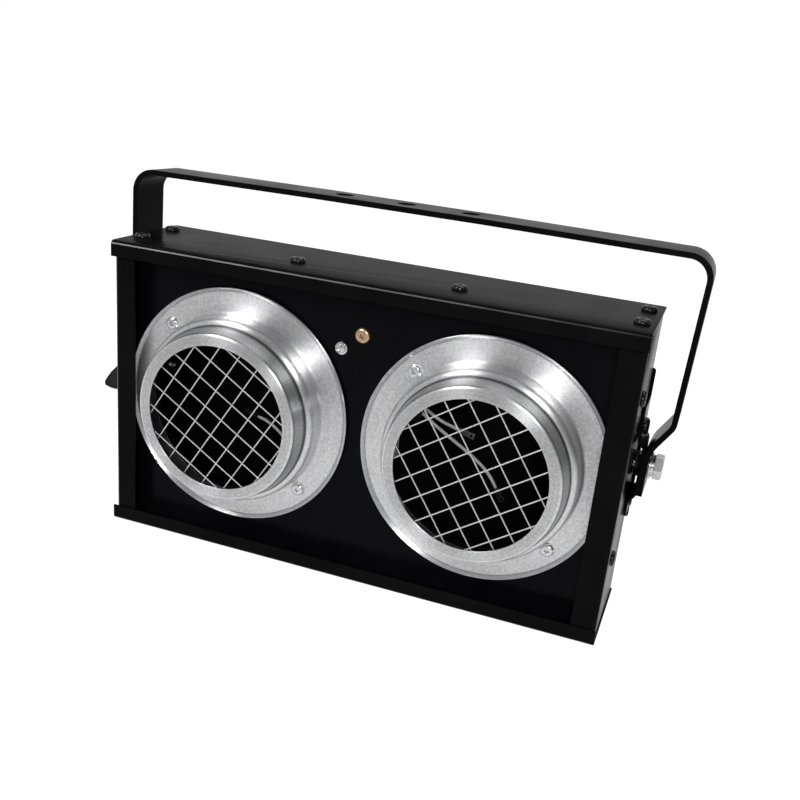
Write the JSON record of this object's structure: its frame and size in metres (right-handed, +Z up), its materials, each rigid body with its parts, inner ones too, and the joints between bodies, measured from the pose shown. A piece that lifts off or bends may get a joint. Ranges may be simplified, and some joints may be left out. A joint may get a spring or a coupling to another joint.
{
  "type": "audience blinder light",
  "caption": "Black sheet-steel box light with spun aluminium rings over wire grilles, tilting in a flat bar yoke with a hand knob.",
  "frame": {"origin": "middle of the underside of the box, on the bottom cover", "axes": "+Z up, the lamps face -Y, +X to the right as seen from the front"},
  "size_m": [0.4775, 0.1332, 0.2773],
  "materials": {
    "black_coat": "satin black powder coat",
    "inner_coat": "glossy black enamel",
    "spun_aluminium": "satin, spun grooves",
    "bright_wire": "bright plated wire",
    "zinc_steel": "zinc plated",
    "black_steel": "blackened steel, glossy",
    "brass": "plain brass",
    "black_plastic": "moulded, slightly grained",
    "ceramic": "glazed porcelain",
    "glass_sleeve": "braided glass sleeving"
  },
  "bodies": {
    "housing": {"top_cover": "black_coat", "bottom_cover": "black_coat", "body_shell": "black_coat", "front_panel": "inner_coat", "rear_plate": "black_coat", "ring_left": "spun_aluminium", "grille_left": "bright_wire", "grille_clip_left": "zinc_steel", "ring_right": "spun_aluminium", "grille_right": "bright_wire", "grille_clip_right": "zinc_steel", "cover_screw_left_front": "black_steel", "cover_screw_left_rear": "black_steel", "cover_screw_right_front": "black_steel", "cover_screw_right_rear": "black_steel", "cover_screw_left_middle": "black_steel", "cover_screw_right_middle": "black_steel", "base_screw_left_front": "black_steel", "base_screw_left_rear": "black_steel", "base_screw_right_front": "black_steel", "base_screw_right_rear": "black_steel", "side_screw_left_upper": "black_steel", "side_screw_left_lower": "black_steel", "side_screw_right_upper": "black_steel", "side_screw_right_lower": "black_steel", "ring_screw_left_upper": "zinc_steel", "ring_screw_left_lower": "zinc_steel", "ring_screw_right_upper": "zinc_steel", "ring_screw_right_lower": "zinc_steel", "rear_screw_left_upper": "black_steel", "rear_screw_left_lower": "black_steel", "rear_screw_right_upper": "black_steel", "rear_screw_right_lower": "black_steel", "panel_rivet": "zinc_steel", "earth_screw": "brass", "pivot_bracket": "black_coat", "bracket_screw": "black_steel", "bracket_rivet": "black_steel", "tilt_bolt": "zinc_steel", "spring_washer": "zinc_steel", "tilt_washer": "zinc_steel", "tilt_nut": "black_steel", "pivot_spacer": "black_plastic", "knob_nut": "zinc_steel", "gland_body": "black_plastic", "gland_nut": "black_plastic", "terminal_block": "ceramic", "lamp_lead_right_long": "glass_sleeve", "lead_terminal_right_long": "zinc_steel", "lamp_lead_right_short": "glass_sleeve", "lead_terminal_right_short": "zinc_steel", "lamp_lead_left_long": "glass_sleeve", "lead_terminal_left_long": "zinc_steel", "lamp_lead_left_short": "glass_sleeve", "lead_terminal_left_short": "zinc_steel", "lead_clip_right": "zinc_steel", "lead_clip_left": "zinc_steel"},
    "yoke": {"yoke": "black_coat"},
    "knob": {"tilt_knob": "black_plastic"}
  },
  "joints": [
    {"name": "yoke_tilt", "type": "hinge", "parent": "housing", "child": "yoke", "pos_m": [0.002, 0.0314, 0.1153], "axis": [1, 0, 0], "continuous": true},
    {"name": "knob_turn", "type": "hinge", "parent": "housing", "child": "knob", "pos_m": [-0.22, 0.0314, 0.1153], "axis": [-1, 0, 0], "range_deg": [0, 360]}
  ]
}
